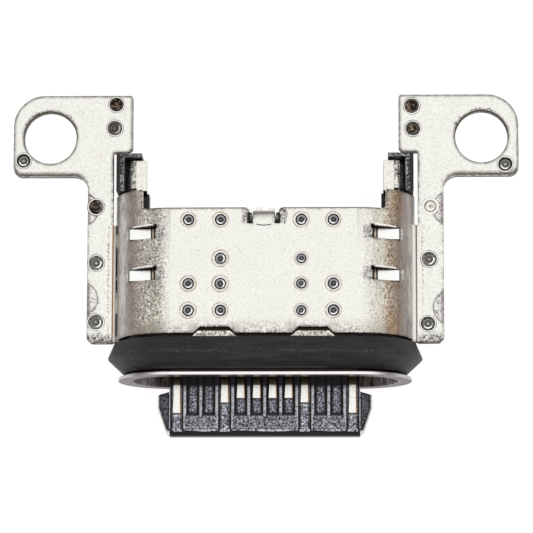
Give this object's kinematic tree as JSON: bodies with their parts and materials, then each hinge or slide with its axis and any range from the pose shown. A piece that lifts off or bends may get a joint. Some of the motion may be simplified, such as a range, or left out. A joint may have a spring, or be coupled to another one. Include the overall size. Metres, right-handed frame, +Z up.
{
  "type": "waterproof usb-c socket",
  "caption": "Sealed USB-C socket with a projecting tongue, a rubber ring behind the rim and a welded sheet-metal bracket with two screw ears for a sunk board.",
  "frame": {"origin": "centre of the mouth, in the rim's front face", "axes": "+X right seen from the plug, +Y back into the device along the plug's travel, +Z up, away from the board"},
  "size_m": [0.016, 0.0109, 0.004],
  "materials": {
    "bracket_steel": "satin rolled sheet, warm white",
    "shell_steel": "satin, turned rim",
    "seal_rubber": "smooth charcoal rubber",
    "moulding_black": "matt glass-filled moulding",
    "plate_steel": "plain plated steel",
    "insulator_black": "matt moulding",
    "sealant_dark": "cured resin",
    "contact_metal": "plated copper alloy, pale cream"
  },
  "bodies": {
    "root": {"top_bracket": "bracket_steel", "bottom_bracket": "bracket_steel", "inner_shell": "shell_steel", "seal_ring": "seal_rubber", "tongue_moulding": "moulding_black", "mid_plate": "plate_steel", "upper_insulator": "insulator_black", "lower_insulator": "insulator_black", "upper_ground_plate": "plate_steel", "lower_ground_plate": "plate_steel", "rear_sealant": "sealant_dark", "contact_a1": "contact_metal", "contact_a4": "contact_metal", "contact_a5": "contact_metal", "contact_a6": "contact_metal", "contact_a7": "contact_metal", "contact_a8": "contact_metal", "contact_a9": "contact_metal", "contact_a12": "contact_metal", "contact_b1": "contact_metal", "contact_b4": "contact_metal", "contact_b5": "contact_metal", "contact_b6": "contact_metal", "contact_b7": "contact_metal", "contact_b8": "contact_metal", "contact_b9": "contact_metal", "contact_b12": "contact_metal"}
  },
  "joints": []
}
